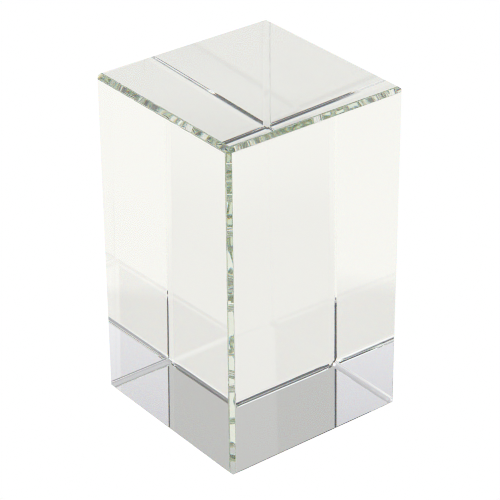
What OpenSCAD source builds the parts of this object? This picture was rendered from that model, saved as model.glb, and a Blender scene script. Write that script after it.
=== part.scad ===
// Crystal block award: one tall square prism of solid optical crystal. All six faces
// are flat and polished, and all twelve edges carry a narrow 45 degree bevel.
// Millimetres, +Z up, origin at the centre of the underside.

/* [Block] */
// Width of the block, left to right
block_width = 60; // [40:0.5:100]
// Depth of the block, front to back
block_depth = 60; // [40:0.5:100]
// Height of the block, from its underside to its top face
block_height = 102; // [60:0.5:200]

/* [Bevels] */
// Leg of the 45 degree bevel on the four upright edges
upright_bevel = 1.5; // [0.5:0.1:4]
// Leg of the 45 degree bevel round the top face
top_bevel = 1.5; // [0.5:0.1:4]
// Leg of the 45 degree bevel round the underside
bottom_bevel = 1.5; // [0.5:0.1:4]

/* [Hidden] */
crystal_tint = [0.86, 0.91, 0.86, 0.45];

// Plan of the block: a rectangle with its four corners cut off at 45 degrees.
function plan_outline(w, d, cut) = [
    [w / 2 - cut, -d / 2], [w / 2, -d / 2 + cut],
    [w / 2, d / 2 - cut], [w / 2 - cut, d / 2],
    [-w / 2 + cut, d / 2], [-w / 2, d / 2 - cut],
    [-w / 2, -d / 2 + cut], [-w / 2 + cut, -d / 2],
];

// Side view of the block, standing on its underside, with its top and bottom corners cut off.
function side_outline(w, h, top_cut, bottom_cut) = [
    [-w / 2 + bottom_cut, 0], [w / 2 - bottom_cut, 0],
    [w / 2, bottom_cut], [w / 2, h - top_cut],
    [w / 2 - top_cut, h], [-w / 2 + top_cut, h],
    [-w / 2, h - top_cut], [-w / 2, bottom_cut],
];

// Stands an outline drawn in the X-Y plane upright, and extrudes it both ways along Y.
module upright_slab(outline, thickness) {
    rotate([90, 0, 0])
        linear_extrude(height = thickness, center = true)
            polygon(outline);
}

// The solid block: its plan extruded upwards, trimmed to the bevelled outline that it
// shows from the front and to the one that it shows from the side.
module crystal_block() {
    color(crystal_tint)
        intersection() {
            linear_extrude(height = block_height)
                polygon(plan_outline(block_width, block_depth, upright_bevel));
            upright_slab(side_outline(block_width, block_height, top_bevel, bottom_bevel),
                         block_depth);
            rotate([0, 0, 90])
                upright_slab(side_outline(block_depth, block_height, top_bevel, bottom_bevel),
                             block_width);
        }
}

crystal_block();
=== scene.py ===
"""Looks of the crystal block award: clear optical crystal on a white studio table.

Lengths are in metres and angles in degrees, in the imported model's frame: +Z up, origin at the centre of
the underside. A direction is an azimuth, anticlockwise from +X, and an elevation above the table.
"""
import math
import random

import bmesh
import bpy
from mathutils import Matrix, Vector


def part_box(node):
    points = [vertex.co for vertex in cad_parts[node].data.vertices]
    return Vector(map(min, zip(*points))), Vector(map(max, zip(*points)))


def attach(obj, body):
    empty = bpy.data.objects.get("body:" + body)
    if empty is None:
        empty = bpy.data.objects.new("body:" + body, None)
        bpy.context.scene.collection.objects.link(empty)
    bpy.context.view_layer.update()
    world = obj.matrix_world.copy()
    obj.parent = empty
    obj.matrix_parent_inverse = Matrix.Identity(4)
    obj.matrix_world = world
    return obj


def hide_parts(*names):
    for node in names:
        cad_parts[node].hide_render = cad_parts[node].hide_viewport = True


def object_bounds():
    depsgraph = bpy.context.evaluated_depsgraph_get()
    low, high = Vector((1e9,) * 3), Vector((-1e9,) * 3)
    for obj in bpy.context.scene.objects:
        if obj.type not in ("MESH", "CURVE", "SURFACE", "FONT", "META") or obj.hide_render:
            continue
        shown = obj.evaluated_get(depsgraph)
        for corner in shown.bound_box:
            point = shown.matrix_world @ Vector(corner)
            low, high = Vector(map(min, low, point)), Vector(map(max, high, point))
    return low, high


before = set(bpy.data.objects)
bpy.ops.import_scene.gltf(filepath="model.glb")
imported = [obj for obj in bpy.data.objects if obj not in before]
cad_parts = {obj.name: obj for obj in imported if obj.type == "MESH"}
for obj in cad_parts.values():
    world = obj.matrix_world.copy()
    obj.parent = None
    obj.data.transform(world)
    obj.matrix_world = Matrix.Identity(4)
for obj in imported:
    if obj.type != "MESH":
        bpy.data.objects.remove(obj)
cad_low, cad_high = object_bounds()

WHITE = (1.0, 1.0, 1.0)
X, Y, Z = 0, 1, 2
MIX_BASE, MIX_OVER, MIX_RESULT = 6, 7, 2      # a Mix node's colour sockets: two inputs and an output

# ---------------------------------------------------------------- view
VIEW_AZIMUTH = -127.8     # near the block's front left edge, a little round to its front
VIEW_ELEVATION = 29.5
VIEW_DISTANCE = 0.63      # from the middle of the block
VIEW_ROLL = -0.47
AIM_DROP = 0.0018         # how far the camera aims below the block's middle, square to the view
LENS = 160.7              # millimetres
SENSOR_WIDTH = 36         # millimetres
CLIP_START = 0.01
CLIP_END = 20

# ---------------------------------------------------------------- table
TABLE_HALF = 3.0          # half the length of a side
TABLE_GAP = 0.0001        # the film of air between the table and the block
TABLE_COLOUR = (0.19, 0.19, 0.18)
GLOW_COLOUR = (1.0, 0.99, 0.955)
GLOW_STRENGTH = 0.762     # the table's even glow, for the light that bounces round the studio
SHADE_COLOUR = (0.03, 0.03, 0.03)
UNDER_SHADE = 0.085       # share of shade under the block
UNDER_EDGE = 0.0003       # distance over which it fades
RIM_SHADE = 0.97          # share of shade in the thin shadow along the block's outline
RIM_OFFSET = -0.00015     # the middle of that shadow, beyond the outline
RIM_REACH = 0.0004        # how far it goes to either side of its middle
RIM_EDGE = 0.0002         # distance over which it fades
RIM_START = 0.008         # it lies along the block's right part, from this far left of the block's middle
RIM_FADE_IN = 0.012       # distance over which it starts

# ---------------------------------------------------------------- studio
# Tones of the studio from the table upwards: elevation and colour.
BACK_TONES = (
    (2, (1.00, 1.00, 1.00)),          # the white table
    (4.5, (0.25, 0.25, 0.26)),        # a dim strip beyond its end
    (13, (0.25, 0.25, 0.26)),
    (17, (1.11, 1.11, 1.11)),         # the lit backdrop
    (25.5, (1.11, 1.11, 1.11)),
    (27, (0.60, 0.60, 0.60)),         # the dimmer wall above it
    (33.5, (0.54, 0.54, 0.53)),
    (40, (0.50, 0.50, 0.49)),
    (47, (0.55, 0.55, 0.55)),
    (57, (0.43, 0.43, 0.43)),         # the ceiling
    (75, (0.10, 0.10, 0.10)),
)
SIDE_TONES = (
    (2, (1.00, 1.00, 1.00)),          # the same from the table to the ceiling, a little bluer
    (5, (0.33, 0.33, 0.35)),
    (14, (0.33, 0.33, 0.35)),
    (18, (1.07, 1.07, 1.07)),
    (28.5, (1.07, 1.07, 1.07)),
    (31.5, (0.84, 0.835, 0.87)),
    (34.5, (0.66, 0.655, 0.695)),
    (41, (0.50, 0.50, 0.52)),
    (47, (0.53, 0.53, 0.55)),
    (57, (0.44, 0.44, 0.45)),
    (75, (0.10, 0.10, 0.10)),
)
# An area of the studio is round: azimuth and elevation of its middle, and how many degrees from there it
# starts and is full.
BACK_AREA = (52, 0, 69, 49)                               # where the tones are BACK_TONES
# Lit and dark areas, each laid over the ones before it, and their colours.
STUDIO_AREAS = (
    ((64, 9, 15, 10), (0.05, 0.05, 0.06)),                # a dark gap beyond the table
    ((-128.5, 25.5, 29, 16), (0.015, 0.015, 0.02)),       # the dark room behind the camera
    ((-150, 50, 14, 10), (0.96, 1.02, 1.08)),             # a light panel above it
    ((136, 42, 8.5, 4), (1.08, 1.10, 1.14)),              # a light panel high on the left
    ((154, 8, 17, 11), (1.05, 1.05, 1.05)),               # a white card low on the left
    ((128, 14, 11.5, 8), (0.08, 0.08, 0.09)),             # a dark gap beside the card
)
LAMP_SIZE = 0.25
LAMP_WATTS = 8.0
LAMP_ELEVATION = 42       # above the camera, at the same azimuth
LAMP_DISTANCE = 1.0

# ---------------------------------------------------------------- glass
CRYSTAL_IOR = 1.56
ABSORB_COLOUR = (0.68, 0.75, 0.60)
ABSORB_DENSITY = 1.0
# Glass bends blue light more than red, which fringes what is seen through it: IOR and tint of each share.
FRINGES = (
    (1.5585, (2.0, 0.6, 0.4)),
    (1.560, (0.6, 1.8, 0.6)),
    (1.562, (0.4, 0.6, 2.0)),
)
LIGHT_BOUNCES = 160       # light can cross the crystal many times
DIFFUSE_BOUNCES = 2
PIXEL_FILTER = 1.0

# ---------------------------------------------------------------- block
BEVEL_LEG = 0.0015        # the CAD model's bevel, measured along each face
BEVEL_ANGLE = 45
# A bevel's cross-section: degrees that its middle bows, degrees more that its rounded borders lean over,
# and where they start and have leant over, as shares of half its width: first border, second border.
FLAT_BEVEL = (0.5, 19.0, 0.70, 0.86, 0.70, 0.86)
WORN_BEVEL = (5.0, 17.0, 0.52, 0.62, 0.74, 0.84)      # the bevels round the underside
# Hand polishing makes a bevel wander along its length: length and height of each wave.
WIDTH_WAVES = ((0.017, 0.002), (0.008, 0.001))        # heights are shares of the bevel's leg
CROWN_WAVES = ((0.013, 0.10), (0.006, 0.05))          # heights are degrees
TWIST_WAVES = ((0.019, 0.08), (0.009, 0.04))          # heights are degrees
WAVE_SPREAD = (0.8, 1.25)                             # a wave's length is drawn between these shares of it
WAVE_SEED = 5
END_FADE = 0.004          # distance from a corner over which a bevel's own shape and wandering die away
STEPS_ACROSS = 24         # mesh steps across a bevel
STEPS_ALONG = 140         # mesh steps along a bevel
STEP_CROWDING = 0.98      # how much closer the steps are towards the mitres, from 0 to 1
WELD_DISTANCE = 2e-6
SLIVER_WIDTH = 1e-7
MITRE_ANGLE = 25          # faces that meet at more than this meet in a crisp edge
BEVEL_FACE_CORNERS = 6    # the most that a bevel's small faces have; the block's flat faces have hundreds


def heading(azimuth, elevation):
    """Unit vector of a direction."""
    a, e = math.radians(azimuth), math.radians(elevation)
    return Vector((math.cos(a) * math.cos(e), math.sin(a) * math.cos(e), math.sin(e)))


def ease(x):
    """0 up to x = 0, 1 from x = 1 on, and a smooth step in between."""
    x = min(max(x, 0.0), 1.0)
    return x * x * (3 - 2 * x)


def add_object(name, data):
    """A new object in the scene."""
    added = bpy.data.objects.new(name, data)
    bpy.context.scene.collection.objects.link(added)
    return added


# ---------------------------------------------------------------- view
def make_camera():
    """A long lens at the viewing angle of a product picture, with no shift and no depth of field."""
    data = bpy.data.cameras.new("view")
    data.lens = LENS
    data.sensor_width = SENSOR_WIDTH
    data.clip_start = CLIP_START
    data.clip_end = CLIP_END
    camera = add_object("view", data)
    back = heading(VIEW_AZIMUTH, VIEW_ELEVATION)
    turn = (-back).to_track_quat("-Z", "Y")
    up = turn @ Vector((0, 1, 0))
    middle = (cad_low + cad_high) / 2
    camera.location = middle + back * VIEW_DISTANCE - up * AIM_DROP
    camera.rotation_mode = "QUATERNION"
    roll = Matrix.Rotation(math.radians(VIEW_ROLL), 3, "Z")
    camera.rotation_quaternion = (turn.to_matrix() @ roll).to_quaternion()
    bpy.context.scene.camera = camera


# ---------------------------------------------------------------- shader nodes
def empty_tree(owner):
    """The node tree of a new material or world, with nothing in it."""
    owner.use_nodes = True
    owner.node_tree.nodes.clear()
    return owner.node_tree


def diffuse(nt, colour):
    """A matt surface."""
    node = nt.nodes.new("ShaderNodeBsdfDiffuse")
    node.inputs["Color"].default_value = (*colour, 1)
    return node.outputs[0]


def glow(nt, colour, strength):
    """A surface that gives out light."""
    node = nt.nodes.new("ShaderNodeEmission")
    node.inputs["Color"].default_value = (*colour, 1)
    node.inputs["Strength"].default_value = strength
    return node.outputs[0]


def mix_shaders(nt, factor, first, second):
    """The first shader where factor, a number or a mask, is 0, and the second where it is 1."""
    node = nt.nodes.new("ShaderNodeMixShader")
    if isinstance(factor, float):
        node.inputs[0].default_value = factor
    else:
        nt.links.new(factor, node.inputs[0])
    nt.links.new(first, node.inputs[1])
    nt.links.new(second, node.inputs[2])
    return node.outputs[0]


def camera_sees(nt):
    """Mask that is 1 for what the camera sees directly, and 0 for what is seen in the crystal."""
    return nt.nodes.new("ShaderNodeLightPath").outputs["Is Camera Ray"]


# ---------------------------------------------------------------- table
def contact_shadows(nt):
    """Masks on the table: the faint shadow under the block, and the thin dark one along its outline."""
    def calculate(operation, *inputs):
        node = nt.nodes.new("ShaderNodeMath")
        node.operation = operation
        for socket, value in zip(node.inputs, inputs):
            if isinstance(value, float):
                socket.default_value = value
            else:
                nt.links.new(value, socket)
        return node.outputs[0]

    def band(value, centre, reach, edge):
        """1 within reach on either side of centre, less an edge in which it falls to 0."""
        off = calculate("ABSOLUTE", calculate("SUBTRACT", value, centre))
        inside = calculate("DIVIDE", calculate("SUBTRACT", reach, off), edge)
        return calculate("MINIMUM", calculate("MAXIMUM", inside, 0.0), 1.0)

    middle, half = (cad_low + cad_high) / 2, (cad_high - cad_low) / 2
    place = nt.nodes.new("ShaderNodeNewGeometry")
    axes = nt.nodes.new("ShaderNodeSeparateXYZ")
    nt.links.new(place.outputs["Position"], axes.inputs[0])
    x = calculate("SUBTRACT", axes.outputs[X], middle.x)
    y = calculate("SUBTRACT", axes.outputs[Y], middle.y)
    beyond_x = calculate("SUBTRACT", calculate("ABSOLUTE", x), half.x)
    beyond_y = calculate("SUBTRACT", calculate("ABSOLUTE", y), half.y)
    beyond = calculate("MAXIMUM", beyond_x, beyond_y)      # distance outside the block's outline

    under = band(beyond, -half.x, half.x - BEVEL_LEG, UNDER_EDGE)
    rim = band(beyond, RIM_OFFSET, RIM_REACH, RIM_EDGE)
    right = band(x, half.x, half.x + RIM_START, RIM_FADE_IN)
    rim = calculate("MULTIPLY", rim, right)
    return calculate("MULTIPLY", under, UNDER_SHADE), calculate("MULTIPLY", rim, RIM_SHADE)


def table_white():
    """The table's material: plain white to the camera, and with the block's shadows in the crystal."""
    material = bpy.data.materials.new("table_white")
    nt = empty_tree(material)
    lit = nt.nodes.new("ShaderNodeAddShader")
    nt.links.new(diffuse(nt, TABLE_COLOUR), lit.inputs[0])
    nt.links.new(glow(nt, GLOW_COLOUR, GLOW_STRENGTH), lit.inputs[1])
    surface = lit.outputs[0]
    shade = diffuse(nt, SHADE_COLOUR)
    for mask in contact_shadows(nt):
        surface = mix_shaders(nt, mask, surface, shade)
    surface = mix_shaders(nt, camera_sees(nt), surface, glow(nt, WHITE, 1.0))
    out = nt.nodes.new("ShaderNodeOutputMaterial")
    nt.links.new(surface, out.inputs["Surface"])
    return material


def make_floor():
    """The table top."""
    mesh = bpy.data.meshes.new("floor")
    signs = ((-1, -1), (1, -1), (1, 1), (-1, 1))
    corners = [(x * TABLE_HALF, y * TABLE_HALF, -TABLE_GAP) for x, y in signs]
    mesh.from_pydata(corners, [], [(0, 1, 2, 3)])
    mesh.materials.append(table_white())
    floor = add_object("floor", mesh)


# ---------------------------------------------------------------- studio
def make_world():
    """Plain white to the camera. The crystal sees the studio: its tones, and the areas over them."""
    world = bpy.data.worlds.new("studio")
    bpy.context.scene.world = world
    nt = empty_tree(world)
    direction = nt.nodes.new("ShaderNodeTexCoord").outputs["Generated"]
    axes = nt.nodes.new("ShaderNodeSeparateXYZ")
    nt.links.new(direction, axes.inputs[0])

    def tones(stops):
        """Colour by elevation."""
        node = nt.nodes.new("ShaderNodeValToRGB")
        nt.links.new(axes.outputs[Z], node.inputs[0])
        elements = node.color_ramp.elements
        elements.remove(elements[-1])
        for count, (elevation, colour) in enumerate(stops):
            height = math.sin(math.radians(elevation))
            element = elements.new(height) if count else elements[0]
            element.position = height
            element.color = (*colour, 1)
        return node.outputs[0]

    def area(azimuth, elevation, start, full):
        """Mask of an area: 0 beyond start degrees from its middle, and 1 within full degrees of it."""
        cosine = nt.nodes.new("ShaderNodeVectorMath")
        cosine.operation = "DOT_PRODUCT"
        nt.links.new(direction, cosine.inputs[0])
        cosine.inputs[1].default_value = heading(azimuth, elevation)
        step = nt.nodes.new("ShaderNodeMapRange")
        step.interpolation_type = "SMOOTHSTEP"
        step.inputs["From Min"].default_value = math.cos(math.radians(start))
        step.inputs["From Max"].default_value = math.cos(math.radians(full))
        nt.links.new(cosine.outputs["Value"], step.inputs["Value"])
        return step.outputs[0]

    def over(base, mask, colour):
        """Lays a colour, or the colour of a socket, over the base where the mask is."""
        node = nt.nodes.new("ShaderNodeMix")
        node.data_type = "RGBA"
        nt.links.new(mask, node.inputs["Factor"])
        nt.links.new(base, node.inputs[MIX_BASE])
        if isinstance(colour, tuple):
            node.inputs[MIX_OVER].default_value = (*colour, 1)
        else:
            nt.links.new(colour, node.inputs[MIX_OVER])
        return node.outputs[MIX_RESULT]

    seen = over(tones(SIDE_TONES), area(*BACK_AREA), tones(BACK_TONES))
    for place, colour in STUDIO_AREAS:
        seen = over(seen, area(*place), colour)
    seen = over(seen, camera_sees(nt), WHITE)
    background = nt.nodes.new("ShaderNodeBackground")
    nt.links.new(seen, background.inputs["Color"])
    out = nt.nodes.new("ShaderNodeOutputWorld")
    nt.links.new(background.outputs[0], out.inputs["Surface"])


def make_lamp():
    """A soft lamp above the camera. Its soft shadow falls behind the block."""
    data = bpy.data.lights.new("front_lamp", "AREA")
    data.size = LAMP_SIZE
    data.energy = LAMP_WATTS
    lamp = add_object("front_lamp", data)
    lamp.location = heading(VIEW_AZIMUTH, LAMP_ELEVATION) * LAMP_DISTANCE
    lamp.rotation_mode = "QUATERNION"
    lamp.rotation_quaternion = (-lamp.location).to_track_quat("-Z", "Y")
    lamp.visible_camera = False
    lamp.visible_glossy = False
    lamp.visible_transmission = False


def settings():
    """Colours as they are, and light paths long enough for the crystal."""
    scene = bpy.context.scene
    scene.view_settings.view_transform = "Standard"
    scene.cycles.max_bounces = LIGHT_BOUNCES
    scene.cycles.transmission_bounces = LIGHT_BOUNCES
    scene.cycles.glossy_bounces = LIGHT_BOUNCES
    scene.cycles.diffuse_bounces = DIFFUSE_BOUNCES
    scene.cycles.use_denoising = True
    scene.cycles.sample_clamp_indirect = 0
    scene.cycles.filter_width = PIXEL_FILTER


# ---------------------------------------------------------------- crystal
def fringed_glass(nt):
    """Equal shares of glass, one for each fringe."""
    shares = None
    for count, (ior, tint) in enumerate(FRINGES, 1):
        node = nt.nodes.new("ShaderNodeBsdfGlass")
        node.inputs["Color"].default_value = (*tint, 1)
        node.inputs["Roughness"].default_value = 0.0
        node.inputs["IOR"].default_value = ior
        share = node.outputs[0]
        shares = mix_shaders(nt, 1 / count, shares, share) if shares else share
    return shares


def crystal():
    """Clear glass. Light that goes in is split a little by colour, which shows most at the bevels."""
    material = bpy.data.materials.new("crystal")
    material.use_nodes = True
    nt = material.node_tree
    out = nt.nodes["Material Output"]
    glass = nt.nodes["Principled BSDF"]
    glass.inputs["Base Color"].default_value = (*WHITE, 1)
    glass.inputs["Roughness"].default_value = 0.0
    glass.inputs["IOR"].default_value = CRYSTAL_IOR
    glass.inputs["Transmission Weight"].default_value = 1.0

    leaving = nt.nodes.new("ShaderNodeNewGeometry").outputs["Backfacing"]
    surface = mix_shaders(nt, leaving, fringed_glass(nt), glass.outputs[0])
    nt.links.new(surface, out.inputs["Surface"])

    absorb = nt.nodes.new("ShaderNodeVolumeAbsorption")
    absorb.inputs["Color"].default_value = (*ABSORB_COLOUR, 1)
    absorb.inputs["Density"].default_value = ABSORB_DENSITY
    nt.links.new(absorb.outputs[0], out.inputs["Volume"])
    return material


def section(shape, crown, twist):
    """Points across a bevel, each as its depth under the one face and under the other.

    Depths are shares of the bevel's leg. The surface is nearly flat in the middle and rounds over
    towards both faces. crown and twist, in degrees, bow and turn the middle a little more."""
    middle_bow, border_bow, *borders = shape
    angles = []
    for step in range(STEPS_ACROSS):
        across = 2 * (step + 0.5) / STEPS_ACROSS - 1
        start, full = borders[:2] if across < 0 else borders[2:]
        border = ease((abs(across) - start) / (full - start))
        bow = (middle_bow + crown) * across + math.copysign(border_bow * border, across)
        angles.append(math.radians(BEVEL_ANGLE + bow + twist * (1 - across * across)))
    sines = sum(math.sin(a) for a in angles)
    cosines = sum(math.cos(a) for a in angles)
    under, beside = 0.0, 1.0
    points = [(under, beside)]
    for a in angles:
        under += math.sin(a) / sines
        beside -= math.cos(a) / cosines
        points.append((under, beside))
    points[-1] = (1.0, 0.0)
    return points


def wandering(rng, waves):
    """A smooth wandering line: a sum of sines with seeded lengths and phases."""
    parts = []
    for length, height in waves:
        rate = 2 * math.pi / (length * rng.uniform(*WAVE_SPREAD))
        parts.append((rate, rng.uniform(0, 2 * math.pi), height))
    return lambda x: sum(height * math.sin(rate * x + phase) for rate, phase, height in parts)


def add_bevel(bm, rng, middle, half, shape, along, first, second):
    """One bevel along an axis, between two faces, each given by its axis and its side, -1 or 1.

    Its ends are mitred. Towards them every bevel takes the same cross-section, so the mitres close."""
    width, crown, twist = (wandering(rng, waves) for waves in (WIDTH_WAVES, CROWN_WAVES, TWIST_WAVES))
    axis_a, side_a = first
    axis_b, side_b = second
    reach = half[along]
    crowding = math.pi * STEP_CROWDING
    rows = []
    for step in range(STEPS_ALONG + 1):
        t = math.sin((step / STEPS_ALONG - 0.5) * crowding) / math.sin(0.5 * crowding)
        x = t * (reach - BEVEL_LEG)
        own = ease((reach - BEVEL_LEG - abs(x)) / END_FADE)
        blend = [flat + own * (value - flat) for flat, value in zip(FLAT_BEVEL, shape)]
        leg_a = BEVEL_LEG * (1 + own * width(x))
        leg_b = BEVEL_LEG * (1 - own * width(x))
        row = []
        for under, beside in section(blend, own * crown(x), own * twist(x)):
            co = Vector()
            co[axis_a] = side_a * (half[axis_a] - under * leg_a)
            co[axis_b] = side_b * (half[axis_b] - beside * leg_b)
            co[along] = t * (reach - max(under, beside) * BEVEL_LEG)
            row.append(bm.verts.new(co + middle))
        rows.append(row)
    for row, later in zip(rows, rows[1:]):
        for k in range(STEPS_ACROSS):
            bm.faces.new((row[k], row[k + 1], later[k + 1], later[k])).smooth = True


def add_bevels(bm, middle, half):
    """The upright bevels, and then those round the top and round the underside."""
    rng = random.Random(WAVE_SEED)
    sides = (-1, 1)
    for x in sides:
        for y in sides:
            add_bevel(bm, rng, middle, half, FLAT_BEVEL, Z, (X, x), (Y, y))
    for z, shape in ((1, FLAT_BEVEL), (-1, WORN_BEVEL)):
        for x in sides:
            add_bevel(bm, rng, middle, half, shape, Y, (X, x), (Z, z))
        for y in sides:
            add_bevel(bm, rng, middle, half, shape, X, (Y, y), (Z, z))


def add_flat_faces(bm):
    """Joins the bevels at their mitres, and closes the six openings between them with flat faces."""
    bmesh.ops.remove_doubles(bm, verts=bm.verts, dist=WELD_DISTANCE)
    bmesh.ops.dissolve_degenerate(bm, dist=SLIVER_WIDTH, edges=bm.edges)
    rims = [edge for edge in bm.edges if edge.is_boundary]
    bmesh.ops.holes_fill(bm, edges=rims, sides=0)
    bmesh.ops.recalc_face_normals(bm, faces=bm.faces)


def is_flat(face):
    """Whether a face is one of the block's six flat faces."""
    return len(face.verts) > BEVEL_FACE_CORNERS


def set_smoothness(bm):
    """Flat faces stay flat, and their rims and the mitres are crisp. The bevels are smooth already."""
    for face in bm.faces:
        if is_flat(face):
            face.smooth = False
    bm.normal_update()
    for edge in bm.edges:
        if len(edge.link_faces) == 2:
            face, other = edge.link_faces
            rim = is_flat(face) != is_flat(other)
            edge.smooth = not (rim or face.normal.angle(other.normal) > math.radians(MITRE_ANGLE))


def make_block():
    """The crystal block: six exactly flat faces, and twelve narrow bevels with rounded borders."""
    low, high = (Vector(corner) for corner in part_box("crystal_block"))
    bm = bmesh.new()
    add_bevels(bm, (low + high) / 2, (high - low) / 2)
    add_flat_faces(bm)
    set_smoothness(bm)
    mesh = bpy.data.meshes.new("crystal_block_polished")
    bm.to_mesh(mesh)
    bm.free()
    mesh.materials.append(crystal())
    block = add_object("crystal_block_polished", mesh)
    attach(block, "root")
    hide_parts("crystal_block")


make_camera()
make_floor()
make_world()
make_lamp()
settings()
make_block()
